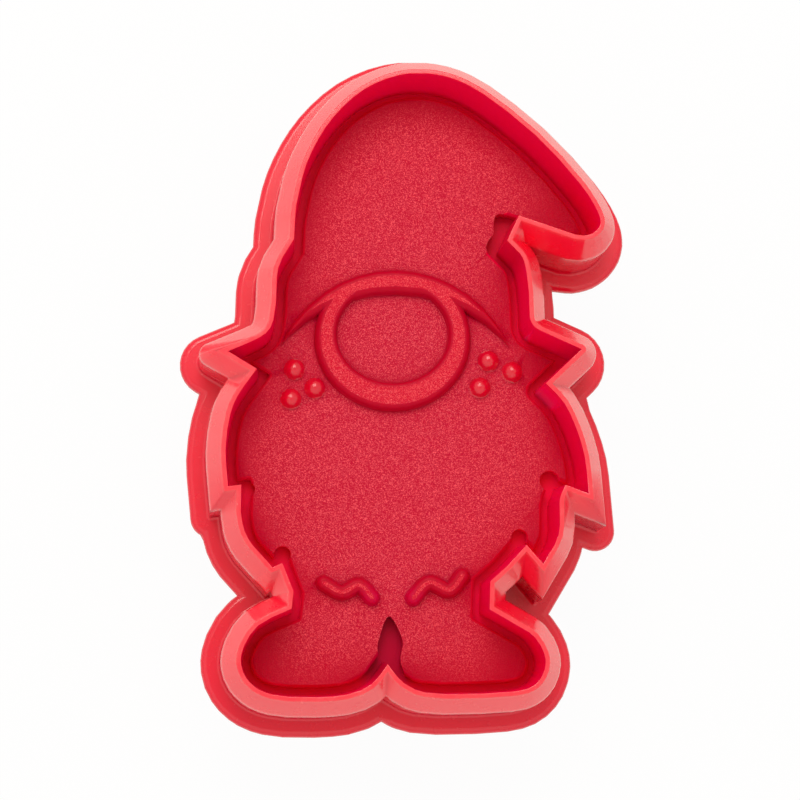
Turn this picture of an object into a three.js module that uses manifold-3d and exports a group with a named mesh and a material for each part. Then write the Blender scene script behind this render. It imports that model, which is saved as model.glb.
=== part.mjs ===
// Embossing cookie cutter in the shape of a bearded gnome: a bevelled cutting wall on a flange, a sliding
// stamp inside it, and a sprung press knob on the back.
// Millimetres, +Z up. The cutter stands on its knob with the cutting edge up, and the origin is on the
// surface below, under the middle of the flange.
import * as THREE from 'three';
import { mergeVertices } from 'three/addons/utils/BufferGeometryUtils.js';
import Module from 'manifold-3d';

const wasm = await Module();
wasm.setup();

// Cookie and cutting wall
const cookieHeight = 72;
const wallHeight = 13;
const wallThickness = 2.3;
const bevelHeight = 4;
const bevelFootRound = 0.6;
const rimLand = 0.5;
const rimRound = 0.1;
const innerDraft = 0.25;
const softCorner = 0.9;
const crispCorner = wallThickness;

// Flange round the wall, and the floor behind the stamp
const flangeReach = 4.6;
const flangeThickness = 2.2;
const flangeRound = 0.8;
const flangeFillet = 0.4;
const floorThickness = 2;

// Stamp plate and its clearances
const stampThickness = 2;
const stampDepth = 7.4;
const stampGap = 1.2;
const stampEdge = 0.3;
const seatClearance = 0.3;

// Raised marks on the stamp
const reliefHeight = 1.3;
const reliefSpread = 0.45;
const reliefRound = 0.3;
const hollowSpread = 0.2;
const noseRound = 0.35;
const brimRound = 0.7;
const dotDiameter = 2.5;
const beardLineWidth = 1.5;
const beardLineRound = 0.5;

// Guide post of the stamp and the sleeve that it slides in
const postDiameter = 10;
const postFlats = 8;
const guideClearance = 0.3;
const sleeveWall = 1.6;
const sleeveLength = 5.5;
const pressTravel = 6;
const stopClearance = 0.4;

// Press knob
const knobDiameter = 30;
const knobHeight = 7;
const knobRound = 1.6;
const spigotDiameter = 6;
const spigotLength = 5;

// Return spring round the sleeve
const wireDiameter = 1;
const springTurns = 4.5;
const springClearance = 0.7;

// Screw that holds the knob on the post, and the cap over it
const screwDiameter = 3;
const screwBite = 7;
const screwTip = 1.5;
const headDiameter = 5.6;
const headHeight = 2;
const pilotClearance = 0.35;
const capDiameter = 12;
const capThickness = 1.5;

// Facets
const curveTolerance = 0.05;
const curveSamples = 10;
const fanStep = Math.PI / 14;
const foldShare = 1 / 3;
const mergeDistance = 1e-5;
const roundSteps = 3;
const easeSteps = 2;
const roundSegments = 40;
const overlap = 0.5;

// The cookie's edge as drawn, clockwise from the left end of the hat. Each run is one smooth stretch, and
// the next starts at the corner where it ends. sharp is how far from the edge that corner stays sharp
// before it turns round.
const edgeRuns = [
  { sharp: softCorner, points: [[-13.5, 16.9], [-13.2, 21.3], [-11.8, 26.5], [-8.9, 31.4], [-4.6, 35.1],
    [0.8, 36.6], [6.8, 35.2], [14.1, 29.8], [19.4, 24.1], [21.8, 20.3], [21.7, 18.5], [19.8, 17.7],
    [16.1, 18.8], [12.5, 20]] },
  { sharp: softCorner, points: [[12.5, 20], [11.1, 17]] },
  { sharp: 0, points: [[11.1, 17], [13, 14.8], [13.6, 11], [13.9, 7.4], [16.3, 5.9], [19.7, 4.4]] },
  { sharp: 0, points: [[19.7, 4.4], [15.5, 0.4]] },
  { sharp: crispCorner, points: [[15.5, 0.4], [17.9, -2.3], [19.8, -7.3], [20.4, -12.3]] },
  { sharp: softCorner, points: [[20.4, -12.3], [17.7, -11.3]] },
  { sharp: crispCorner, points: [[17.7, -11.3], [17, -13.2], [16.9, -17], [15.1, -20.4]] },
  { sharp: softCorner, points: [[15.1, -20.4], [13.2, -18.2]] },
  { sharp: softCorner, points: [[13.2, -18.2], [11, -20.6], [9, -22.4]] },
  { sharp: softCorner, points: [[9, -22.4], [8.9, -25.6]] },
  { sharp: softCorner, points: [[8.9, -25.6], [11.4, -27], [14.2, -28.9], [15.3, -31.8], [13.6, -34.4],
    [8.7, -35.1], [2.2, -35.1], [-0.8, -34], [-2.7, -31.8]] },
  { sharp: softCorner, points: [[-2.7, -31.8], [-4.7, -34.2], [-8.2, -35.4], [-15, -35.4], [-18.3, -33.9],
    [-19.3, -31], [-17.5, -27.6], [-13.6, -25.6]] },
  { sharp: softCorner, points: [[-13.6, -25.6], [-13.4, -23.6]] },
  { sharp: softCorner, points: [[-13.4, -23.6], [-14.7, -20.4]] },
  { sharp: crispCorner, points: [[-14.7, -20.4], [-15.8, -20.9]] },
  { sharp: softCorner, points: [[-15.8, -20.9], [-18.5, -17.8], [-19.4, -14.9], [-19.4, -11.5]] },
  { sharp: crispCorner, points: [[-19.4, -11.5], [-20.9, -11.7]] },
  { sharp: softCorner, points: [[-20.9, -11.7], [-21.2, -7], [-20.3, -2.2], [-17.7, 1.8]] },
  { sharp: softCorner, points: [[-17.7, 1.8], [-21, 3.8]] },
  { sharp: softCorner, points: [[-21, 3.8], [-16.6, 6], [-15.6, 9.2], [-15.3, 13.6], [-13.5, 16.9]] },
];

// Raised marks as drawn on the same sheet: a hat brim between two arcs, an open nose ring, cheek dots and
// two wavy beard lines
const brim = { left: [-13.6, 7], right: [10.9, 7], outerRise: 7.15, innerRise: 4.8 };
const noseOuter = { centre: [-1.7, 6.4], rx: 8.8, ry: 8.2 };
const noseInner = { centre: [-1.7, 6.9], rx: 6.7, ry: 5.9 };
const cheekDots = [[-13.2, 2.7], [-13.6, -0.8], [-10.8, 0.5], [9.6, 3.9], [12.4, 2.6], [8.6, 0.7]];
const beardLines = [
  [[-9.7, -22.3], [-7.6, -23.4], [-5.6, -22.5], [-4.1, -24]],
  [[0.7, -24], [2.5, -22.2], [4.9, -23.1], [6.4, -21.4]],
];
// Round cuts in the stamp's edge behind the wall's inward corners, and the long ones between its legs and
// under the tip of its hat
const edgeCuts = [
  { centre: [16.8, -10.2], radius: 1.2 },
  { centre: [13.2, -16.9], radius: 1 },
  { centre: [-14.5, -19], radius: 1 },
  { centre: [-18.6, -11.4], radius: 0.9 },
  { centre: [-17.2, 1.8], radius: 0.9 },
];
const edgeSlots = [
  [[-5.2, -35.6], [-3.3, -31.6], [-3.4, -29.3], [-2.1, -26.1], [-0.5, -28.9], [-0.7, -31.6], [1.1, -35.6]],
  [[12.4, 15.6], [10.2, 16.3], [9.4, 17.3], [9.7, 18.3], [10.3, 19.1], [10.3, 20.4], [10.9, 21.5],
    [13.4, 20.9]],
];

// Heights above the standing surface
const sleeveEnd = knobHeight + pressTravel + stopClearance;
const floorBottom = sleeveEnd + sleeveLength;
const floorTop = floorBottom + floorThickness;
const stampBottom = floorTop + seatClearance;
const stampTop = stampBottom + stampThickness;
const rimTop = stampTop + stampDepth;
const flangeTop = rimTop - wallHeight;
const backFace = flangeTop - flangeThickness;
const postEnd = knobHeight + seatClearance;

// Outlines

// Drops the points of a curve that lie closer than the tolerance to the chord between its ends
function thin(points, tolerance) {
  const first = points[0];
  const last = points.at(-1);
  const chord = last.clone().sub(first);
  const distances = points.map((p) => Math.abs(p.clone().sub(first).cross(chord)) / chord.length());
  const farthest = distances.indexOf(Math.max(...distances));
  if (distances[farthest] <= tolerance) return [first, last];
  const head = thin(points.slice(0, farthest + 1), tolerance);
  return [...head.slice(0, -1), ...thin(points.slice(farthest), tolerance)];
}

function smoothCurve(points, toPoint) {
  const curve = new THREE.SplineCurve(points.map(toPoint));
  return thin(curve.getPoints(points.length * curveSamples), curveTolerance);
}

// A copy of a point that keeps its place u along the outline and how far out it stays sharp
function tagged(point, { u, sharp }) {
  return Object.assign(point.clone(), { u, sharp });
}

// Gives each point of a closed outline its place u along the way round
function numbered(points) {
  return points.map((p, i) => tagged(p, { u: i / points.length, sharp: p.sharp }));
}

function edgeNormal(from, to) {
  return new THREE.Vector2(to.y - from.y, from.x - to.x).normalize();
}

function crossing(a, b, c, d) {
  const along = b.clone().sub(a);
  const other = d.clone().sub(c);
  const start = c.clone().sub(a);
  const cross = along.cross(other);
  const s = start.cross(other) / cross;
  const t = start.cross(along) / cross;
  return s >= 0 && s <= 1 && t >= 0 && t <= 1 ? a.clone().addScaledVector(along, s) : null;
}

// Cuts away the small loops where a moved outline crosses itself
function cutLoops(points) {
  const kept = [...points];
  for (let i = 0; i < kept.length - 3; i += 1) {
    const reach = Math.min(kept.length - 2, i + Math.floor(kept.length * foldShare));
    for (let j = reach; j > i + 1; j -= 1) {
      const meeting = crossing(kept[i], kept[i + 1], kept[j], kept[j + 1]);
      if (meeting) {
        meeting.u = (kept[i].u + kept[j + 1].u) / 2;
        kept.splice(i + 1, j - i, meeting);
        break;
      }
    }
  }
  return kept;
}

function distanceToLoop(point, loop) {
  const distances = loop.map((from, i) => {
    const along = loop[(i + 1) % loop.length].clone().sub(from);
    const share = point.clone().sub(from).dot(along) / along.lengthSq();
    return point.distanceTo(from.clone().addScaledVector(along, THREE.MathUtils.clamp(share, 0, 1)));
  });
  return Math.min(...distances);
}

// Moves a closed outline outward. Where it spreads, a corner stays sharp as far as it is marked to and is
// round beyond; where it closes in, corners stay sharp and what would fold over is cut away.
function offsetLoop(loop, distance) {
  const moved = loop.flatMap((point, i) => {
    const before = edgeNormal(loop.at(i - 1), point);
    const after = edgeNormal(point, loop[(i + 1) % loop.length]);
    const turn = Math.atan2(before.cross(after), before.dot(after));
    const mitre = before.clone().add(after).divideScalar(1 + before.dot(after));
    const steps = turn * distance > 0 ? Math.ceil(Math.abs(turn) / fanStep) : 1;
    const rounded = steps > 1 ? Math.max(Math.abs(distance) - (point.sharp || 0), 0) : 0;
    const radius = rounded * Math.sign(distance);
    const centre = point.clone().addScaledVector(mitre, distance - radius);
    if (radius === 0) return [tagged(centre, point)];
    return Array.from({ length: steps + 1 }, (_, k) => {
      const normal = before.clone().rotateAround(new THREE.Vector2(), (turn * k) / steps);
      const u = point.u + (k / steps - 1 / 2) / (2 * loop.length);
      return tagged(centre.clone().addScaledVector(normal, radius), { u, sharp: point.sharp });
    });
  });
  return cutLoops(moved).filter((p) => distanceToLoop(p, loop) > Math.abs(distance) - curveTolerance);
}

// Outline of a line drawn with a round pen
function strokeLoop(points, radius) {
  const normals = points.map((p, i) => edgeNormal(points[Math.max(i - 1, 0)],
    points[Math.min(i + 1, points.length - 1)]));
  const right = points.map((p, i) => p.clone().addScaledVector(normals[i], radius));
  const left = points.map((p, i) => p.clone().addScaledVector(normals[i], -radius));
  const cap = (centre, from) => Array.from({ length: roundSteps * 2 - 1 }, (_, k) => from.clone()
    .rotateAround(centre, (Math.PI * (k + 1)) / (roundSteps * 2)));
  const drawn = numbered([...right, ...cap(points.at(-1), right.at(-1)), ...left.reverse(),
    ...cap(points[0], points[0].clone().multiplyScalar(2).sub(right[0]))]);
  return cutLoops(drawn);
}

// Solids

function solidOf(geometry) {
  geometry.deleteAttribute('normal');
  geometry.deleteAttribute('uv');
  const merged = mergeVertices(geometry, mergeDistance);
  const mesh = new wasm.Mesh({
    numProp: 3,
    vertProperties: new Float32Array(merged.attributes.position.array),
    triVerts: new Uint32Array(merged.index.array),
  });
  return new wasm.Manifold(mesh);
}

// Skin through a stack of outlines, each level a loop at a height, closed by a flat face at both ends
function loft(levels) {
  const positions = [];
  const triangles = [];
  const starts = levels.map(({ loop, z }) => {
    const start = positions.length / 3;
    loop.forEach((p) => positions.push(p.x, p.y, z));
    return start;
  });
  const cap = (level, facing) => {
    const { loop } = levels[level];
    THREE.ShapeUtils.triangulateShape(loop, []).forEach(([a, b, c]) => {
      const area = loop[b].clone().sub(loop[a]).cross(loop[c].clone().sub(loop[a]));
      const face = area * facing > 0 ? [a, b, c] : [a, c, b];
      triangles.push(...face.map((index) => starts[level] + index));
    });
  };
  const placeOf = (loop, step) => loop[step % loop.length].u + Math.floor(step / loop.length);
  for (let level = 0; level + 1 < levels.length; level += 1) {
    const lower = levels[level].loop;
    const upper = levels[level + 1].loop;
    let i = 0;
    let j = 0;
    while (i < lower.length || j < upper.length) {
      const a = starts[level] + (i % lower.length);
      const b = starts[level + 1] + (j % upper.length);
      const takeLower = j === upper.length
        || (i < lower.length && placeOf(lower, i + 1) <= placeOf(upper, j + 1));
      if (takeLower) {
        i += 1;
        triangles.push(a, starts[level] + (i % lower.length), b);
      } else {
        j += 1;
        triangles.push(a, starts[level + 1] + (j % upper.length), b);
      }
    }
  }
  cap(0, -1);
  cap(levels.length - 1, 1);
  const geometry = new THREE.BufferGeometry();
  geometry.setAttribute('position', new THREE.Float32BufferAttribute(positions, 3));
  geometry.setIndex(triangles);
  return solidOf(geometry);
}

// Levels are given as [distance out from the loop, height]
function loftOffsets(loop, levels) {
  return loft(levels.map(([out, z]) => ({ loop: out === 0 ? loop : offsetLoop(loop, out), z })));
}

// Profile of [out, height, ease] points, with each corner turned into a curve that starts and ends at the
// distance ease from it
function eased(profile) {
  return profile.flatMap(([out, z, ease = 0], i) => {
    if (ease === 0) return [[out, z]];
    const corner = new THREE.Vector2(out, z);
    const side = ([x, y]) => new THREE.Vector2(x, y).sub(corner).setLength(ease).add(corner);
    const curve = new THREE.QuadraticBezierCurve(side(profile[i - 1]), corner, side(profile[i + 1]));
    return curve.getPoints(easeSteps).map((p) => [p.x, p.y]);
  });
}

// Turns a closed [radius, height] profile, drawn anticlockwise, round the Z axis
function revolve(profile) {
  const points = [...profile, profile[0]].map(([r, z]) => new THREE.Vector2(r, z));
  return solidOf(new THREE.LatheGeometry(points, roundSegments).rotateX(Math.PI / 2));
}

function roundBar(radius, bottom, top) {
  const bar = new THREE.CylinderGeometry(radius, radius, top - bottom, roundSegments);
  return solidOf(bar.rotateX(Math.PI / 2).translate(0, 0, (bottom + top) / 2));
}

// Quarter round from one direction to the next, as [radius, height] points
function quarterRound(centreRadius, centreHeight, radius, fromAngle) {
  return Array.from({ length: roundSteps + 1 }, (_, k) => {
    const angle = fromAngle + (Math.PI / 2) * (k / roundSteps);
    return [centreRadius + radius * Math.cos(angle), centreHeight + radius * Math.sin(angle)];
  });
}

// Round bar with two flats, for the guide post and its passage
function flattedBar(diameter, flats, bottom, top) {
  const radius = diameter / 2;
  const angle = Math.asin(flats / diameter);
  const section = new THREE.Shape();
  section.absarc(0, 0, radius, -angle, angle);
  section.absarc(0, 0, radius, Math.PI - angle, Math.PI + angle);
  const options = { depth: top - bottom, bevelEnabled: false, curveSegments: roundSegments / 4 };
  return solidOf(new THREE.ExtrudeGeometry(section, options).translate(0, 0, bottom));
}

// The cookie's outline, brought to size and centred on the flange

const sheetHeights = edgeRuns.flatMap(({ points }) => points.map(([, y]) => y));
const sheetScale = cookieHeight / (Math.max(...sheetHeights) - Math.min(...sheetHeights));
const scaled = ([x, y]) => new THREE.Vector2(x, y).multiplyScalar(sheetScale);
const clockwise = edgeRuns.flatMap(({ points }, i) => {
  const curve = points.length === 2 ? points.map(scaled) : smoothCurve(points, scaled);
  curve[0].sharp = edgeRuns.at(i - 1).sharp;
  return curve.slice(0, -1);
});
const anticlockwise = clockwise.reverse();
const highest = anticlockwise.reduce((best, p, i) => (p.y > anticlockwise[best].y ? i : best), 0);
const sheetEdge = numbered([...anticlockwise.slice(highest), ...anticlockwise.slice(0, highest)]);
const flangeBox = new THREE.Box2().setFromPoints(offsetLoop(sheetEdge, flangeReach));
const sheetCentre = flangeBox.getCenter(new THREE.Vector2());
const placed = (point) => scaled(point).sub(sheetCentre);
const cookieEdge = sheetEdge.map((p) => tagged(p.clone().sub(sheetCentre), p));

// Cutter body

function makeCutterBody() {
  const shell = loftOffsets(cookieEdge, eased([
    [-innerDraft, floorBottom],
    [0, backFace, rimRound],
    [flangeReach, backFace, flangeRound],
    [flangeReach, flangeTop, flangeRound],
    [wallThickness, flangeTop, flangeFillet],
    [wallThickness, rimTop - bevelHeight, bevelFootRound],
    [rimLand, rimTop, rimRound],
    [0, rimTop, rimRound],
    [-innerDraft, floorTop],
  ]));
  const sleeveRadius = postDiameter / 2 + guideClearance + sleeveWall;
  const passage = flattedBar(postDiameter + 2 * guideClearance, postFlats + 2 * guideClearance,
    sleeveEnd - overlap, floorTop + overlap);
  return shell.add(roundBar(sleeveRadius, sleeveEnd, floorBottom + overlap)).subtract(passage);
}

// Stamp plate

const reliefTop = stampTop + reliefHeight;

// Rounded flank of a raised mark, from its foot at one distance to its flat top at another
function flank(foot, top) {
  return Array.from({ length: roundSteps + 1 }, (_, k) => {
    const angle = (Math.PI / 2) * (k / roundSteps);
    return [top + (foot - top) * Math.cos(angle), stampTop + reliefHeight * Math.sin(angle)];
  });
}

function ridge(loop) {
  return loftOffsets(loop, [[reliefSpread, stampTop - overlap], ...flank(reliefSpread, -reliefRound)]);
}

function ridgeHole(loop, round) {
  return loftOffsets(loop, [[-hollowSpread, stampTop - 2 * overlap], ...flank(-hollowSpread, round),
    [round, reliefTop + overlap]]);
}

function ellipseLoop(centre, rx, ry) {
  const { x, y } = placed(centre);
  const curve = new THREE.EllipseCurve(x, y, rx * sheetScale, ry * sheetScale);
  return numbered(curve.getPoints(roundSegments).slice(0, -1));
}

// Disc whose edge passes through both ends of the brim and rises between them
function brimDisc(rise) {
  const halfSpan = (brim.right[0] - brim.left[0]) / 2;
  const radius = (halfSpan ** 2 + rise ** 2) / (2 * rise);
  const centre = [brim.left[0] + halfSpan, brim.left[1] + rise - radius];
  return ellipseLoop(centre, radius, radius);
}

function makeFace() {
  const hatLine = ridge(brimDisc(brim.outerRise));
  const hatBrim = hatLine.subtract(ridgeHole(brimDisc(brim.innerRise), brimRound));
  const nose = ridge(ellipseLoop(noseOuter.centre, noseOuter.rx, noseOuter.ry))
    .subtract(ridgeHole(ellipseLoop(noseInner.centre, noseInner.rx, noseInner.ry), noseRound));
  return hatBrim.add(nose.intersect(hatLine));
}

function makeDot(point) {
  const { x, y } = placed(point);
  const radius = dotDiameter / 2;
  const dome = new THREE.SphereGeometry(radius, roundSegments / 2, roundSteps * 2);
  return solidOf(dome.rotateX(Math.PI / 2).translate(x, y, stampTop));
}

function makeBeardLine(points) {
  const loop = strokeLoop(smoothCurve(points, placed), beardLineWidth / 2);
  const crown = eased([[0, stampTop], [0, reliefTop, beardLineRound], [-beardLineWidth / 2, reliefTop]]);
  return loftOffsets(loop, [[0, stampTop - overlap], ...crown.slice(1, -1)]);
}

function through(loop) {
  return loft([{ loop, z: stampBottom - overlap }, { loop, z: stampTop + overlap }]);
}

function makeStampPlate() {
  const plate = loftOffsets(cookieEdge, [
    [-stampGap, stampBottom],
    [-stampGap, stampTop - stampEdge],
    [-stampGap - stampEdge, stampTop],
  ]);
  const slots = edgeSlots.map((points) => numbered(smoothCurve(points, placed).reverse()));
  const roundCuts = edgeCuts.map(({ centre, radius }) => ellipseLoop(centre, radius, radius));
  const cuts = [...slots, ...roundCuts].map(through);
  const marks = [makeFace(), ...cheekDots.map(makeDot), ...beardLines.map(makeBeardLine)];
  const post = flattedBar(postDiameter, postFlats, postEnd, stampBottom + overlap);
  const socketTop = knobHeight + spigotLength + seatClearance;
  const socket = roundBar(spigotDiameter / 2 + guideClearance, postEnd - overlap, socketTop);
  const pilotTop = socketTop + screwBite + seatClearance;
  const pilot = roundBar(screwDiameter / 2 + pilotClearance, socketTop - overlap, pilotTop);
  const cut = cuts.reduce((solid, tool) => solid.subtract(tool), plate);
  const marked = marks.reduce((solid, mark) => solid.add(mark), cut);
  return marked.add(post).subtract(socket).subtract(pilot);
}

// Knob, screw and cap

const capPocket = capThickness + 2 * seatClearance;
const headPocket = capPocket + headHeight + 2 * seatClearance;
const screwHole = screwDiameter / 2 + pilotClearance;

function makePressKnob() {
  const radius = knobDiameter / 2;
  return revolve([
    [capDiameter / 2 + seatClearance, 0],
    ...quarterRound(radius - knobRound, knobRound, knobRound, -Math.PI / 2),
    ...quarterRound(radius - knobRound, knobHeight - knobRound, knobRound, 0),
    [spigotDiameter / 2, knobHeight],
    [spigotDiameter / 2, knobHeight + spigotLength],
    [screwHole, knobHeight + spigotLength],
    [screwHole, headPocket],
    [headDiameter / 2 + seatClearance, headPocket],
    [headDiameter / 2 + seatClearance, capPocket],
    [capDiameter / 2 + seatClearance, capPocket],
  ]);
}

function makeKnobScrew() {
  const seat = headPocket - seatClearance;
  const bottom = seat - headHeight;
  const tipTop = knobHeight + spigotLength + seatClearance + screwBite;
  const radius = screwDiameter / 2;
  const headRound = quarterRound(headDiameter / 2 - headHeight / 2, bottom + headHeight / 2, headHeight / 2,
    -Math.PI / 2);
  const profile = [[0, bottom], ...headRound, [headDiameter / 2, seat], [radius, seat],
    [radius, tipTop - screwTip], [0, tipTop]];
  return revolve(profile);
}

function makeKnobCap() {
  const top = seatClearance + capThickness;
  const radius = capDiameter / 2;
  return revolve([[0, seatClearance], [radius - seatClearance, seatClearance], [radius, 2 * seatClearance],
    [radius, top], [0, top]]);
}

// Return spring: one wire whose ends stand square on the knob and on the underside of the body's floor

const coilRadius = postDiameter / 2 + guideClearance + sleeveWall + springClearance + wireDiameter / 2;
const stepsPerTurn = 8;
const wireSides = 5;

function springPath() {
  const bottom = knobHeight + seatClearance;
  const top = floorBottom - seatClearance;
  const climb = top - bottom - 2 * wireDiameter;
  const steps = springTurns * stepsPerTurn;
  const coil = Array.from({ length: steps + 1 }, (_, k) => {
    const angle = (2 * Math.PI * k) / stepsPerTurn;
    const height = bottom + wireDiameter + (climb * k) / steps;
    return new THREE.Vector3(coilRadius * Math.cos(angle), coilRadius * Math.sin(angle), height);
  });
  const foot = coil[0].clone().setZ(bottom);
  const tip = coil.at(-1).clone().setZ(top);
  return [foot, ...coil, tip];
}

function makeReturnSpring(path) {
  const positions = [];
  const triangles = [];
  const rings = path.length;
  path.forEach((point, k) => {
    const along = path[Math.min(k + 1, rings - 1)].clone().sub(path[Math.max(k - 1, 0)]).normalize();
    const outward = new THREE.Vector3(point.x, point.y, 0).normalize();
    const across = along.clone().cross(outward).normalize();
    outward.crossVectors(across, along);
    for (let side = 0; side < wireSides; side += 1) {
      const angle = (2 * Math.PI * side) / wireSides;
      const spoke = outward.clone().multiplyScalar(Math.cos(angle)).addScaledVector(across, Math.sin(angle));
      positions.push(...point.clone().addScaledVector(spoke, wireDiameter / 2));
    }
  });
  for (let ring = 0; ring + 1 < rings; ring += 1) {
    for (let side = 0; side < wireSides; side += 1) {
      const a = ring * wireSides + side;
      const b = ring * wireSides + ((side + 1) % wireSides);
      triangles.push(a, b, a + wireSides, b, b + wireSides, a + wireSides);
    }
  }
  for (let side = 1; side + 1 < wireSides; side += 1) {
    const last = (rings - 1) * wireSides;
    triangles.push(0, side + 1, side, last, last + side, last + side + 1);
  }
  const geometry = new THREE.BufferGeometry();
  geometry.setAttribute('position', new THREE.Float32BufferAttribute(positions, 3));
  geometry.setIndex(triangles);
  return solidOf(geometry);
}

// Least clear distance between stretches of the wire that lie half a turn or more apart
function leastGap(path) {
  const apart = stepsPerTurn / 2;
  const gaps = path.flatMap((p, i) => path.slice(i + apart).map((q) => p.distanceTo(q) - wireDiameter));
  return Math.min(...gaps);
}

// Assembly

const redBody = { color: 0xe23a48, roughness: 0.28, metalness: 0 };
const redStamp = { color: 0xd93346, roughness: 0.5, metalness: 0 };
const steel = { color: 0xc6c9cc, roughness: 0.3, metalness: 1 };

function node(name, solid, finish) {
  const { vertProperties, triVerts } = solid.getMesh();
  const geometry = new THREE.BufferGeometry();
  geometry.setAttribute('position', new THREE.BufferAttribute(vertProperties, 3));
  geometry.setIndex(new THREE.BufferAttribute(triVerts, 1));
  geometry.computeVertexNormals();
  const mesh = new THREE.Mesh(geometry, new THREE.MeshStandardMaterial(finish));
  mesh.name = name;
  return mesh;
}

const springWire = springPath();
console.log(`return spring: least gap to itself ${leastGap(springWire).toFixed(2)} mm`);

const cutter = new THREE.Group();
cutter.add(node('cutter_body', makeCutterBody(), redBody));
cutter.add(node('stamp_plate', makeStampPlate(), redStamp));
cutter.add(node('press_knob', makePressKnob(), redBody));
cutter.add(node('knob_screw', makeKnobScrew(), steel));
cutter.add(node('knob_cap', makeKnobCap(), redBody));
cutter.add(node('return_spring', makeReturnSpring(springWire), steel));

export default cutter;
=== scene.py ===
import math

import bmesh
import bpy
from mathutils import Matrix, Vector
from mathutils.bvhtree import BVHTree


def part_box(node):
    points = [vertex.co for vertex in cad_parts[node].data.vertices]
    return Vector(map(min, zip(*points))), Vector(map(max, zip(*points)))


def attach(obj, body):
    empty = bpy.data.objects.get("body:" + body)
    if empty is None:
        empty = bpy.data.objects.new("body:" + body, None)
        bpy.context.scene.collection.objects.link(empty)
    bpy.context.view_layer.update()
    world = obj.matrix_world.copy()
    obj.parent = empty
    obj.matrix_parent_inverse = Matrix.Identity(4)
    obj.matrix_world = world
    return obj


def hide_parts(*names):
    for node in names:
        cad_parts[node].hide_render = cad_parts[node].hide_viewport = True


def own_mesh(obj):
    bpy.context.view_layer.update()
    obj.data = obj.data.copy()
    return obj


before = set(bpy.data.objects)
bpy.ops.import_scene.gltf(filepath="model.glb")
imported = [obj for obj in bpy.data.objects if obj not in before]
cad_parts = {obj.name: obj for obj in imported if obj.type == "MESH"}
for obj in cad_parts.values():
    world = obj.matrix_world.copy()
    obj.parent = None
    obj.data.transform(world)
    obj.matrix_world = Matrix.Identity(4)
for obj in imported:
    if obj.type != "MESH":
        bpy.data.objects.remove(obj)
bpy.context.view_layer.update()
mm = 0.001      # the lengths below are in millimetres, apart from the studio's

scene = bpy.context.scene
scene.view_settings.view_transform = "Standard"


# Helpers

cleanSet = {
    "merge": 0.002,       # corners nearer than this are one
    "flatAngle": 0.4,     # degrees, triangles flatter than this are joined
    "faceWeight": 100,    # the large faces lead the shading
}


def linear(hexCode):
    # an sRGB hex value as the linear colour that a socket takes
    channels = [int(hexCode[i:i + 2], 16) / 255 for i in (1, 3, 5)]
    return [c / 12.92 if c <= 0.04045 else ((c + 0.055) / 1.055) ** 2.4 for c in channels] + [1.0]


def addNode(tree, kind, links=None, **settings):
    # links fill the node's inputs, from a socket or with a plain value, and settings are its own options
    node = tree.nodes.new(kind)
    for name, value in settings.items():
        setattr(node, name, value)
    for socket, value in (links or {}).items():
        if isinstance(value, bpy.types.NodeSocket):
            tree.links.new(value, node.inputs[socket])
        else:
            node.inputs[socket].default_value = value
    return node


colourA, colourB, colourOut = 6, 7, 2      # a Mix node's colour sockets, which share their names with others
plainWhite = linear("#ffffff")


def newMaterial(name):
    material = bpy.data.materials.new(name)
    material.use_nodes = True
    material.node_tree.nodes.clear()
    return material, material.node_tree


def perMetre(sizeMm):
    return 1 / (sizeMm * mm)


def copyOf(node, name):
    piece = bpy.data.objects.new(name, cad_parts[node].data.copy())
    piece.data.materials.clear()
    scene.collection.objects.link(piece)
    return piece


def cleanCopy(piece, sharpAngle):
    # merges the loose triangles, joins flat ones and marks the real edges
    shape = bmesh.new()
    shape.from_mesh(piece.data)
    bmesh.ops.remove_doubles(shape, verts=shape.verts, dist=cleanSet["merge"] * mm)
    bmesh.ops.dissolve_limit(shape, angle_limit=math.radians(cleanSet["flatAngle"]),
                             verts=shape.verts, edges=shape.edges)
    for face in shape.faces:
        face.smooth = True
    shape.to_mesh(piece.data)
    shape.free()
    piece.data.set_sharp_from_angle(angle=math.radians(sharpAngle))


def evenShading(piece):
    weighted = piece.modifiers.new("evenShading", "WEIGHTED_NORMAL")
    weighted.keep_sharp = True
    weighted.weight = cleanSet["faceWeight"]


# Camera, almost straight above the cutting edge and a little towards the feet and the left

cameraSet = {
    "aim": (-0.397, -0.647, 17.6),
    "toward": (-0.0684, -0.1186, 1),      # from the aim to the camera
    "distance": 334.8,
    "lens": 126.3,
    "sensor": 36,
    "clip": (10, 20000),
}


def addCamera():
    data = bpy.data.cameras.new("photoCamera")
    data.lens = cameraSet["lens"]
    data.sensor_width = cameraSet["sensor"]
    data.clip_start, data.clip_end = (reach * mm for reach in cameraSet["clip"])
    camera = bpy.data.objects.new("photoCamera", data)
    back = Vector(cameraSet["toward"]).normalized()
    right = Vector((0, 1, 0)).cross(back).normalized()
    up = back.cross(right)
    turn = Matrix((right, up, back)).transposed()
    eye = (Vector(cameraSet["aim"]) + back * cameraSet["distance"]) * mm
    camera.matrix_world = Matrix.Translation(eye) @ turn.to_4x4()
    scene.collection.objects.link(camera)
    scene.camera = camera


addCamera()
print("camera placed")


# Studio, in metres: white paper sweep, a bright tent and one soft key light beyond the hat

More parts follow.
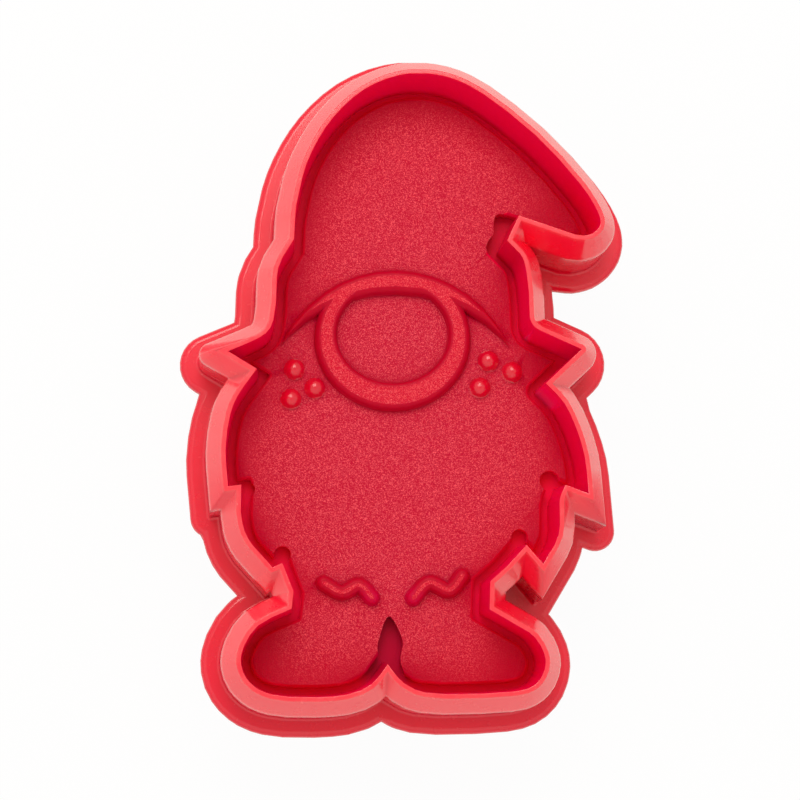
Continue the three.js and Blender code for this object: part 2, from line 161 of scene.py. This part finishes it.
studio = {
    "floorSize": 4.0,
    "floorDrop": 0.00005,           # keeps the paper just clear of the standing face
    "paper": "#eceae8",
    "paperGlow": 0.955,             # share of the paper that the camera sees as plain white
    "paperMirrored": 0.5,           # and that reflections see so
    "paperShade": (-0.1, -0.02),    # less so in front of the feet
    "lampWhite": "#fffaf0",         # the lamps are faintly warm
    "tentStrength": 0.92,
    "tentTilt": (-0.08, -0.16, 0),  # the tent fills in from the feet's side and the left
    "tentTop": 0.45,                # it is open and dim above, where the camera looks in
    "topRim": (0.955, 0.998),
    "tentSide": 0.65,               # and its sides are dim towards the floor
    "sideFade": (0.15, 0.72),
    "keyPlace": (-0.06, 0.27, 0.48),
    "keySize": 0.3,
    "keyPower": 1.2,
}


def whitePaper():
    # matt paper that the camera, and less so reflections, see as plain white with a faint shadow
    paper, tree = newMaterial("whitePaperSweep")
    rays = addNode(tree, "ShaderNodeLightPath")
    mirrored = addNode(tree, "ShaderNodeMath", {
        0: rays.outputs["Is Glossy Ray"], 1: rays.outputs["Is Transmission Ray"]}, operation="MAXIMUM")
    place = addNode(tree, "ShaderNodeTexCoord").outputs["Object"]
    across = addNode(tree, "ShaderNodeSeparateXYZ", {0: place}).outputs["Y"]
    shade = addNode(tree, "ShaderNodeMapRange", {
        "Value": across, "From Min": studio["paperShade"][0], "From Max": studio["paperShade"][1],
        "To Min": 0.0, "To Max": studio["paperMirrored"]})
    dimmed = addNode(tree, "ShaderNodeMath", {
        0: mirrored.outputs[0], 1: shade.outputs[0]}, operation="MULTIPLY")
    share = addNode(tree, "ShaderNodeMath", {
        0: rays.outputs["Is Camera Ray"], 1: studio["paperGlow"], 2: dimmed.outputs[0]},
        operation="MULTIPLY_ADD")
    matt = addNode(tree, "ShaderNodeBsdfDiffuse", {"Color": linear(studio["paper"])})
    tone = addNode(tree, "ShaderNodeMix", {
        0: rays.outputs["Is Camera Ray"], colourA: linear(studio["lampWhite"]), colourB: plainWhite},
        data_type="RGBA")
    white = addNode(tree, "ShaderNodeEmission", {"Color": tone.outputs[colourOut], "Strength": 1.0})
    mixed = addNode(tree, "ShaderNodeMixShader", {
        0: share.outputs[0], 1: matt.outputs[0], 2: white.outputs[0]})
    addNode(tree, "ShaderNodeOutputMaterial", {"Surface": mixed.outputs[0]})
    return paper


def addFloor():
    shape = bmesh.new()
    bmesh.ops.create_grid(shape, x_segments=1, y_segments=1, size=studio["floorSize"] / 2)
    bmesh.ops.translate(shape, verts=shape.verts, vec=(0, 0, -studio["floorDrop"]))
    mesh = bpy.data.meshes.new("paperSweep")
    shape.to_mesh(mesh)
    shape.free()
    floor = bpy.data.objects.new("paperSweep", mesh)
    scene.collection.objects.link(floor)
    mesh.materials.append(whitePaper())


def addTent():
    world = bpy.data.worlds.new("lightTent")
    scene.world = world
    world.use_nodes = True
    tree = world.node_tree
    tree.nodes.clear()
    rays = addNode(tree, "ShaderNodeLightPath")
    way = addNode(tree, "ShaderNodeTexCoord").outputs["Generated"]
    height = addNode(tree, "ShaderNodeSeparateXYZ", {0: way}).outputs["Z"]
    glow = addNode(tree, "ShaderNodeMapRange", {
        "Value": height, "From Min": studio["topRim"][0], "From Max": studio["topRim"][1],
        "To Min": studio["tentStrength"], "To Max": studio["tentTop"]}, interpolation_type="SMOOTHSTEP")
    fade = addNode(tree, "ShaderNodeMapRange", {
        "Value": height, "From Min": studio["sideFade"][0], "From Max": studio["sideFade"][1],
        "To Min": studio["tentSide"], "To Max": 1.0}, interpolation_type="SMOOTHSTEP")
    lean = addNode(tree, "ShaderNodeVectorMath", {0: way, 1: studio["tentTilt"]}, operation="DOT_PRODUCT")
    tilt = addNode(tree, "ShaderNodeMath", {0: lean.outputs["Value"], 1: 1.0}, operation="ADD")
    faded = addNode(tree, "ShaderNodeMath", {0: glow.outputs[0], 1: fade.outputs[0]}, operation="MULTIPLY")
    level = addNode(tree, "ShaderNodeMath", {0: faded.outputs[0], 1: tilt.outputs[0]}, operation="MULTIPLY")
    tent = addNode(tree, "ShaderNodeBackground", {
        "Color": linear(studio["lampWhite"]), "Strength": level.outputs[0]})
    white = addNode(tree, "ShaderNodeBackground", {"Color": plainWhite, "Strength": 1.0})
    mixed = addNode(tree, "ShaderNodeMixShader", {
        0: rays.outputs["Is Camera Ray"], 1: tent.outputs[0], 2: white.outputs[0]})
    addNode(tree, "ShaderNodeOutputWorld", {"Surface": mixed.outputs[0]})


def addKey():
    key = bpy.data.lights.new("softKey", "AREA")
    key.shape = "SQUARE"
    key.size = studio["keySize"]
    key.energy = studio["keyPower"]
    key.color = linear(studio["lampWhite"])[:3]
    lamp = bpy.data.objects.new("softKey", key)
    lamp.location = studio["keyPlace"]
    lamp.rotation_mode = "QUATERNION"
    lamp.rotation_quaternion = (-Vector(studio["keyPlace"])).to_track_quat("-Z", "Y")
    scene.collection.objects.link(lamp)


addFloor()
addTent()
addKey()
print("studio ready")


# Materials

plasticSet = {
    "ior": 1.49,                    # polypropylene
    "glowMm": 2.0,                  # how far red light travels inside it
    "glowReach": (1.0, 0.1, 0.15),  # green and blue light go less far
}

glossSet = {
    "red": "#ef0a36",
    "deepRed": "#e50832",
    "roughness": (0.2, 0.32),
    "coat": 0.45,            # the polished skin reflects more than plain plastic
    "coatRoughness": 0.08,
    "glow": 0.25,
    "flowMm": 9.0,           # slow unevenness left by the flow of the melt
    "flowDepth": 0.03,
    "peelMm": 1.6,           # fine unevenness of a polished mould
    "peelDepth": 0.006,
    "fleckMm": 0.5,          # dust and nicks, drawn a little coarse so that they show
    "flecks": (0.76, 0.84),
    "fleckShare": 0.5,
    "fleckRed": "#ff9a98",
    "bevelZ": (26.3, 26.9),
    "bevelHighlightRed": "#ff1238",   # painted highlight: the bevel is painted brighter than the flange
    "rimZ": (29.9, 30.55),
    "rimWear": 0.9,          # the cutting edge is rubbed paler
    "wornRed": "#ff5058",
    "footZ": (17.7, 20.2),
    "footShade": 0.45,       # painted shade: the wall's foot is painted a deeper red along the flange, where shade falls
    "footShadeRed": "#c8062e",
}


def glossPlastic():
    # polypropylene from a polished steel mould: glossy, faintly uneven, with red light inside thin walls
    material, tree = newMaterial("polishedMouldPolypropylene")
    place = addNode(tree, "ShaderNodeTexCoord").outputs["Object"]
    flow = addNode(tree, "ShaderNodeTexNoise", {
        "Vector": place, "Scale": perMetre(glossSet["flowMm"]), "Detail": 2.0})
    peel = addNode(tree, "ShaderNodeTexNoise", {
        "Vector": place, "Scale": perMetre(glossSet["peelMm"]), "Detail": 2.0})
    dust = addNode(tree, "ShaderNodeTexNoise", {
        "Vector": place, "Scale": perMetre(glossSet["fleckMm"]), "Detail": 1.0})
    flecks = addNode(tree, "ShaderNodeMapRange", {
        "Value": dust.outputs["Fac"], "From Min": glossSet["flecks"][0], "From Max": glossSet["flecks"][1],
        "To Max": glossSet["fleckShare"]})
    rise = addNode(tree, "ShaderNodeSeparateXYZ", {0: place}).outputs["Z"]
    rim = addNode(tree, "ShaderNodeMapRange", {
        "Value": rise, "From Min": glossSet["rimZ"][0] * mm, "From Max": glossSet["rimZ"][1] * mm,
        "To Max": glossSet["rimWear"]}, interpolation_type="SMOOTHSTEP")
    rubbed = addNode(tree, "ShaderNodeMath", {0: rim.outputs[0], 1: peel.outputs["Fac"]}, operation="MULTIPLY")
    # painted shade along the wall's foot, just above the flange
    foot = addNode(tree, "ShaderNodeMapRange", {
        "Value": rise, "From Min": glossSet["footZ"][0] * mm, "From Max": glossSet["footZ"][1] * mm,
        "To Min": glossSet["footShade"], "To Max": 0.0}, interpolation_type="SMOOTHSTEP")
    wall = addNode(tree, "ShaderNodeMath", {0: rise, 1: glossSet["footZ"][0] * mm}, operation="GREATER_THAN")
    footShadow = addNode(tree, "ShaderNodeMath", {0: foot.outputs[0], 1: wall.outputs[0]}, operation="MULTIPLY")
    # painted highlight: a band at the bevel's height is painted a brighter red
    bevelHighlight = addNode(tree, "ShaderNodeMapRange", {
        "Value": rise, "From Min": glossSet["bevelZ"][0] * mm, "From Max": glossSet["bevelZ"][1] * mm},
        interpolation_type="SMOOTHSTEP")
    tint = addNode(tree, "ShaderNodeMix", {
        0: flow.outputs["Fac"], colourA: linear(glossSet["red"]), colourB: linear(glossSet["deepRed"])},
        data_type="RGBA")
    # painted shade at the wall's foot, painted highlight on the bevel, then rim wear and dust flecks
    layers = {"footShadeRed": footShadow, "bevelHighlightRed": bevelHighlight, "wornRed": rubbed, "fleckRed": flecks}
    for red, share in layers.items():      # each layer lies over the ones before it
        tint = addNode(tree, "ShaderNodeMix", {
            0: share.outputs[0], colourA: tint.outputs[colourOut], colourB: linear(glossSet[red])},
            data_type="RGBA")
    rough = addNode(tree, "ShaderNodeMapRange", {
        "Value": peel.outputs["Fac"], "To Min": glossSet["roughness"][0], "To Max": glossSet["roughness"][1]})
    wave = addNode(tree, "ShaderNodeBump", {
        "Height": flow.outputs["Fac"], "Strength": 1.0, "Distance": glossSet["flowDepth"] * mm})
    skin = addNode(tree, "ShaderNodeBump", {
        "Height": peel.outputs["Fac"], "Strength": 1.0, "Distance": glossSet["peelDepth"] * mm,
        "Normal": wave.outputs[0]})
    shader = addNode(tree, "ShaderNodeBsdfPrincipled", {
        "Base Color": tint.outputs[colourOut], "Roughness": rough.outputs[0], "IOR": plasticSet["ior"],
        "Subsurface Weight": glossSet["glow"], "Subsurface Radius": plasticSet["glowReach"],
        "Subsurface Scale": plasticSet["glowMm"] * mm, "Coat Weight": glossSet["coat"],
        "Coat Roughness": glossSet["coatRoughness"], "Normal": skin.outputs[0]})
    addNode(tree, "ShaderNodeOutputMaterial", {"Surface": shader.outputs[0]})
    return material


sparkSet = {
    "faceReds": ("#c20032", "#ff6672"),
    "crownReds": ("#d00430", "#ff646c"),
    "specks": (0.45, 0.79),  # painted glints: light specks on a deep red ground, painted where the pits would glint
    "calmMm": 7.0,           # painted shade: the painted glints fade this near to a wall, found by ambient occlusion, where less light reaches
    "calm": (0.5, 0.88),
    "calmSamples": 8,
    "grainMm": 0.118,        # spark-eroded pits, drawn a little coarse so that they show
    "grainRoughness": 0.6,
    "pitDepth": 0.1,
    "edgeMm": 0.8,           # painted shade: the edges of the marks are painted darker and without specks, as a rounded crown turning from the light
    "edge": (0.999, 0.98),
    "edgeShare": 0.9,
    "edgeSamples": 8,
    "edgeShadeRed": "#bc0430",
    "roughness": 0.3,
    "gloss": 0.12,
    "glow": 0.2,
}


def sparkPlastic(name, reds, shadedEdges):
    # polypropylene from a spark-eroded mould face: fine pits, whose glints are painted in as light specks that
    # fade near walls as painted shade
    material, tree = newMaterial(name)
    place = addNode(tree, "ShaderNodeTexCoord").outputs["Object"]
    grain = addNode(tree, "ShaderNodeTexNoise", {
        "Vector": place, "Scale": perMetre(sparkSet["grainMm"]), "Detail": 1.0,
        "Roughness": sparkSet["grainRoughness"]})
    # painted glints: the higher parts of the grain are painted as light specks
    pits = addNode(tree, "ShaderNodeMapRange", {
        "Value": grain.outputs["Fac"], "From Min": sparkSet["specks"][0], "From Max": sparkSet["specks"][1]})
    # painted shade: ambient occlusion darkens the face near walls and marks
    nearWall = addNode(tree, "ShaderNodeAmbientOcclusion", {"Distance": sparkSet["calmMm"] * mm},
                       samples=sparkSet["calmSamples"])
    lively = addNode(tree, "ShaderNodeMapRange", {
        "Value": nearWall.outputs["AO"], "From Min": sparkSet["calm"][0], "From Max": sparkSet["calm"][1]})
    glints = addNode(tree, "ShaderNodeMath", {0: pits.outputs[0], 1: lively.outputs[0]}, operation="MULTIPLY")
    tint = addNode(tree, "ShaderNodeMix", {
        0: glints.outputs[0], colourA: linear(reds[0]), colourB: linear(reds[1])}, data_type="RGBA")
    if shadedEdges:
        # painted shade on the crown's edges, which a bevel node finds
        facing = addNode(tree, "ShaderNodeNewGeometry").outputs["Normal"]
        eased = addNode(tree, "ShaderNodeBevel", {"Radius": sparkSet["edgeMm"] * mm},
                        samples=sparkSet["edgeSamples"])
        bent = addNode(tree, "ShaderNodeVectorMath", {0: facing, 1: eased.outputs[0]}, operation="DOT_PRODUCT")
        edge = addNode(tree, "ShaderNodeMapRange", {
            "Value": bent.outputs["Value"], "From Min": sparkSet["edge"][0], "From Max": sparkSet["edge"][1],
            "To Max": sparkSet["edgeShare"]})
        tint = addNode(tree, "ShaderNodeMix", {
            0: edge.outputs[0], colourA: tint.outputs[colourOut], colourB: linear(sparkSet["edgeShadeRed"])},
            data_type="RGBA")
    skin = addNode(tree, "ShaderNodeBump", {
        "Height": grain.outputs["Fac"], "Strength": 1.0, "Distance": sparkSet["pitDepth"] * mm})
    shader = addNode(tree, "ShaderNodeBsdfPrincipled", {
        "Base Color": tint.outputs[colourOut], "Roughness": sparkSet["roughness"], "IOR": plasticSet["ior"],
        "Specular IOR Level": sparkSet["gloss"],
        "Subsurface Weight": sparkSet["glow"], "Subsurface Radius": plasticSet["glowReach"],
        "Subsurface Scale": plasticSet["glowMm"] * mm, "Normal": skin.outputs[0]})
    addNode(tree, "ShaderNodeOutputMaterial", {"Surface": shader.outputs[0]})
    return material


dullSet = {
    "wellReds": ("#ff044e", "#f8044a"),
    # painted shade: the flanks of the marks are painted a deeper red than the face
    "flankShadeReds": ("#c0062c", "#b20428"),
    "lipReds": ("#d40830", "#c8062c"),
    "dotReds": ("#dc062e", "#d0042a"),
    "roughness": 0.38,
    "gloss": 0.08,
    "dotRoughness": 0.2,     # only the dots were polished
    "dotGloss": 0.7,
    "glow": 0.25,
    "grindMm": 0.6,          # faint unevenness of a ground mould face
    "grindDepth": 0.01,
    "slots": [               # painted shade: behind the leg slot and the hat slot the well is painted a deeper red, as if it lay deeper in shade
        {"place": (-1.9, -28.6), "reach": (4.6, 7.0), "red": "#c4023a"},
        {"place": (11.8, 18.1), "reach": (3.0, 5.6), "red": "#e0033c"},
    ],
}


def dullPlastic(name, reds, gloss, roughness):
    # polypropylene from a ground mould face: smooth, deep red, with hardly any shine unless it was polished
    material, tree = newMaterial(name)
    place = addNode(tree, "ShaderNodeTexCoord").outputs["Object"]
    grind = addNode(tree, "ShaderNodeTexNoise", {
        "Vector": place, "Scale": perMetre(dullSet["grindMm"]), "Detail": 2.0})
    tint = addNode(tree, "ShaderNodeMix", {
        0: grind.outputs["Fac"], colourA: linear(reds[0]), colourB: linear(reds[1])}, data_type="RGBA")
    level = addNode(tree, "ShaderNodeVectorMath", {0: place, 1: (1, 1, 0)}, operation="MULTIPLY")
    # painted shade: a deeper red round each slot
    for slot in dullSet["slots"]:
        middle = Vector((*slot["place"], 0)) * mm
        away = addNode(tree, "ShaderNodeVectorMath", {0: level.outputs[0], 1: middle}, operation="DISTANCE")
        slotShade = addNode(tree, "ShaderNodeMapRange", {
            "Value": away.outputs["Value"], "From Min": slot["reach"][0] * mm, "From Max": slot["reach"][1] * mm,
            "To Min": 1.0, "To Max": 0.0}, interpolation_type="SMOOTHSTEP")
        tint = addNode(tree, "ShaderNodeMix", {
            0: slotShade.outputs[0], colourA: tint.outputs[colourOut], colourB: linear(slot["red"])},
            data_type="RGBA")
    skin = addNode(tree, "ShaderNodeBump", {
        "Height": grind.outputs["Fac"], "Strength": 1.0, "Distance": dullSet["grindDepth"] * mm})
    shader = addNode(tree, "ShaderNodeBsdfPrincipled", {
        "Base Color": tint.outputs[colourOut], "Roughness": roughness, "IOR": plasticSet["ior"],
        "Specular IOR Level": gloss,
        "Subsurface Weight": dullSet["glow"], "Subsurface Radius": plasticSet["glowReach"],
        "Subsurface Scale": plasticSet["glowMm"] * mm, "Normal": skin.outputs[0]})
    addNode(tree, "ShaderNodeOutputMaterial", {"Surface": shader.outputs[0]})
    return material


steelSet = {
    "colour": "#c9ccce",
    "roughness": (0.2, 0.34),
    "drawMm": 0.25,          # fine marks of the die
    "drawDepth": 0.004,
}


def drawnSteel():
    # stainless wire drawn through a die: bright, with fine draw marks
    material, tree = newMaterial("drawnStainlessSteel")
    place = addNode(tree, "ShaderNodeTexCoord").outputs["Object"]
    marks = addNode(tree, "ShaderNodeTexNoise", {
        "Vector": place, "Scale": perMetre(steelSet["drawMm"]), "Detail": 3.0})
    rough = addNode(tree, "ShaderNodeMapRange", {
        "Value": marks.outputs["Fac"], "To Min": steelSet["roughness"][0], "To Max": steelSet["roughness"][1]})
    skin = addNode(tree, "ShaderNodeBump", {
        "Height": marks.outputs["Fac"], "Strength": 1.0, "Distance": steelSet["drawDepth"] * mm})
    shader = addNode(tree, "ShaderNodeBsdfPrincipled", {
        "Base Color": linear(steelSet["colour"]), "Metallic": 1.0, "Roughness": rough.outputs[0],
        "Normal": skin.outputs[0]})
    addNode(tree, "ShaderNodeOutputMaterial", {"Surface": shader.outputs[0]})
    return material


polished = glossPlastic()
spark = sparkPlastic("sparkErodedPolypropylene", sparkSet["faceReds"], shadedEdges=False)
crown = sparkPlastic("edgeShadedSparkPolypropylene", sparkSet["crownReds"], shadedEdges=True)
dull = dullPlastic("groundMouldPolypropylene", dullSet["wellReds"], dullSet["gloss"], dullSet["roughness"])
flank = dullPlastic("shadedFlankPolypropylene", dullSet["flankShadeReds"], dullSet["gloss"], dullSet["roughness"])
lip = dullPlastic("groundLipPolypropylene", dullSet["lipReds"], dullSet["gloss"], dullSet["roughness"])
bead = dullPlastic("polishedDotPolypropylene", dullSet["dotReds"], dullSet["dotGloss"], dullSet["dotRoughness"])
steel = drawnSteel()
print("materials ready")


# Cutter body: the moulding from the model, with its facets shaded as one smooth skin

bodySet = {
    "sharpAngle": 38,
    "wellFloor": 20.9,       # height of the floor behind the stamp
    "wellSpan": 0.2,
    "floorTilt": 0.99,       # a floor faces up at least this much
    "wallTilt": 0.5,         # and a wall at most this much
    "stepIn": 0.5,           # how far off a wall the floor below it is looked for
}


def onWellFloor(spot):
    return abs(spot.z - bodySet["wellFloor"] * mm) < bodySet["wellSpan"] * mm


def wellFaces(mesh):
    # the faces of the well: its floor, and the walls that have that floor below them
    tree = BVHTree.FromPolygons([v.co for v in mesh.vertices], [p.vertices for p in mesh.polygons])
    found = []
    for face in mesh.polygons:
        floor = face.normal.z > bodySet["floorTilt"] and onWellFloor(face.center)
        wall = abs(face.normal.z) < bodySet["wallTilt"] and face.center.z > bodySet["wellFloor"] * mm
        if wall:
            spot = tree.ray_cast(face.center + face.normal * bodySet["stepIn"] * mm, Vector((0, 0, -1)))[0]
            wall = spot is not None and onWellFloor(spot)
        if floor or wall:
            found.append(face)
    return found


def makeBody():
    body = copyOf("cutter_body", "cutterMoulding")
    cleanCopy(body, bodySet["sharpAngle"])
    evenShading(body)
    for finish in (polished, dull):
        body.data.materials.append(finish)
    for face in wellFaces(body.data):
        face.material_index = 1      # the well that the stamp slides in is left dull
    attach(body, "cutter")
    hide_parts("cutter_body")


makeBody()
print("cutter body made")


# Stamp: pitted on its flat faces with painted glints, dull and painted a shaded deeper red on the flanks of its
# marks, dull along its edge, with polished dots

stampSet = {
    "sharpAngle": 34,
    "flatTilt": 0.999,       # a flat face looks up at least this much
    "plateZ": 23.2,          # the plate's flat face
    "plateSpan": 0.02,
    "markZ": 23.25,          # the marks rise above this height
    "crownZ": 24.5,          # and their crowns lie here
    "dotWidth": 3.0,         # a mark narrower than this is a cheek dot
    "beardY": -15,           # the marks nearer the feet than this are the beard lines
    "beardSwell": 0.25,      # the foot of a beard line spreads by this much on each side
    "lipZ": 22.8,            # the plate's rounded lip starts here
    "lipTilt": 0.1,
    "finishes": {"face": spark, "back": dull, "flank": flank, "dot": bead, "crown": crown, "lip": lip},
}


def swellBeard(piece):
    # spreads the sides of the beard lines, so that they read as plump beads, and fills the plate round them anew
    shape = bmesh.new()
    shape.from_mesh(piece.data)
    plate = [face for face in shape.faces if face.normal.z > stampSet["flatTilt"]
             and abs(face.calc_center_median().z - stampSet["plateZ"] * mm) < stampSet["plateSpan"] * mm]
    bmesh.ops.delete(shape, geom=plate, context="FACES_KEEP_BOUNDARY")
    sides = set()
    for face in shape.faces:
        centre = face.calc_center_median()
        onBeard = centre.z > stampSet["markZ"] * mm and centre.y < stampSet["beardY"] * mm
        if onBeard and face.normal.z < stampSet["flatTilt"]:
            sides.update(face.verts)
    moves = {}
    for vert in sides:
        outward = Vector((0, 0, 0))
        for face in vert.link_faces:
            if face.normal.z < stampSet["flatTilt"]:
                outward += Vector((face.normal.x, face.normal.y, 0))
        share = (stampSet["crownZ"] - vert.co.z / mm) / (stampSet["crownZ"] - stampSet["markZ"])
        moves[vert] = outward.normalized() * stampSet["beardSwell"] * max(0, share) * mm
    for vert, move in moves.items():      # all together, because a moved corner tilts its neighbours
        vert.co += move
    rim = [edge for edge in shape.edges if edge.is_boundary]
    bmesh.ops.triangle_fill(shape, use_beauty=True, use_dissolve=False, edges=rim, normal=(0, 0, 1))
    for face in shape.faces:
        face.smooth = True
    shape.to_mesh(piece.data)
    shape.free()


def dotFaces(mesh):
    # numbers of the faces on the cheek dots, the marks that are no wider than a dot
    shape = bmesh.new()
    shape.from_mesh(mesh)
    raised = {face for face in shape.faces if face.calc_center_median().z > stampSet["markZ"] * mm}
    found = set()
    while raised:
        mark, front = set(), {raised.pop()}
        while front:      # one whole mark, from face to face
            mark |= front
            raised -= front
            front = {near for face in front for edge in face.edges for near in edge.link_faces} & raised
        corners = [vert.co for face in mark for vert in face.verts]
        spans = [max(co[axis] for co in corners) - min(co[axis] for co in corners) for axis in (0, 1)]
        if max(spans) < stampSet["dotWidth"] * mm:
            found.update(face.index for face in mark)
    shape.free()
    return found


def finishOf(face, dots):
    raised = face.center.z > stampSet["markZ"] * mm
    if face.index in dots:
        return "dot"
    if face.normal.z > stampSet["flatTilt"]:
        return "crown" if raised else "face"
    if raised:
        return "flank"
    onLip = face.center.z > stampSet["lipZ"] * mm and face.normal.z > stampSet["lipTilt"]
    return "lip" if onLip else "back"


def makeStamp():
    stamp = copyOf("stamp_plate", "stampMoulding")
    cleanCopy(stamp, stampSet["sharpAngle"])
    swellBeard(stamp)
    stamp.data.set_sharp_from_angle(angle=math.radians(stampSet["sharpAngle"]))
    evenShading(stamp)
    for finish in stampSet["finishes"].values():
        stamp.data.materials.append(finish)
    order = list(stampSet["finishes"])
    dots = dotFaces(stamp.data)
    for face in stamp.data.polygons:
        face.material_index = order.index(finishOf(face, dots))
    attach(stamp, "plunger")
    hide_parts("stamp_plate")


makeStamp()
print("stamp made")


# Knob, cap and screw

turnedSet = {
    "sharpAngle": 35,
    "pieces": {
        "press_knob": ("pressKnob", "knob_plastic", polished),
        "knob_cap": ("knobCap", "knob_plastic", polished),
        "knob_screw": ("knobScrew", "screw_steel", steel),
    },
}


def makeTurned():
    for node, (name, slotName, finish) in turnedSet["pieces"].items():
        piece = copyOf(node, name)
        cleanCopy(piece, turnedSet["sharpAngle"])
        evenShading(piece)
        piece.data.materials.append(finish)
        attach(piece, "plunger")
        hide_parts(node)


makeTurned()
print("knob made")


# Return spring: round wire with a closed turn at each end

springSet = {
    "travel": 6.0,           # the press shortens it by this much
    "coilRadius": 8.1,       # to the middle of the wire
    "wire": 1.0,
    "wireSides": 12,
    "stepsPerTurn": 40,
    "endTurns": 1,
    "endPitch": 1.06,        # the end turns just clear each other
    "openTurns": 3.5,
}


def windTurns(shape, ring, turns, pitch):
    # sweeps the wire's last ring on round the coil and gives back the new last ring
    steps = round(turns * springSet["stepsPerTurn"])
    swept = bmesh.ops.spin(shape, geom=ring, cent=(0, 0, 0), axis=(0, 0, 1), angle=2 * math.pi * turns,
                           steps=steps, dvec=(0, 0, turns * pitch * mm / steps))
    return swept["geom_last"]


def makeSpring():
    low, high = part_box("return_spring")
    length = high.z - low.z
    wire = springSet["wire"] * mm
    endClimb = springSet["endTurns"] * springSet["endPitch"]
    openPitch = ((length - wire) / mm - 2 * endClimb) / springSet["openTurns"]
    shape = bmesh.new()
    start = Matrix.Translation((springSet["coilRadius"] * mm, 0, low.z + wire / 2))
    upright = Matrix.Rotation(math.pi / 2, 4, "X")
    bmesh.ops.create_circle(shape, cap_ends=True, segments=springSet["wireSides"], radius=wire / 2,
                            matrix=start @ upright)
    ring = shape.verts[:] + shape.edges[:] + shape.faces[:]
    ring = windTurns(shape, ring, springSet["endTurns"], springSet["endPitch"])
    ring = windTurns(shape, ring, springSet["openTurns"], openPitch)
    windTurns(shape, ring, springSet["endTurns"], springSet["endPitch"])
    bmesh.ops.recalc_face_normals(shape, faces=shape.faces)
    for face in shape.faces:
        face.smooth = len(face.verts) == 4      # the two cut ends of the wire stay flat
    mesh = bpy.data.meshes.new("returnSpring")
    shape.to_mesh(mesh)
    shape.free()
    spring = bpy.data.objects.new("returnSpring", mesh)
    scene.collection.objects.link(spring)
    mesh.materials.append(steel)
    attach(spring, "cutter")
    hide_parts("return_spring")
    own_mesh(spring)


makeSpring()
print("spring made")
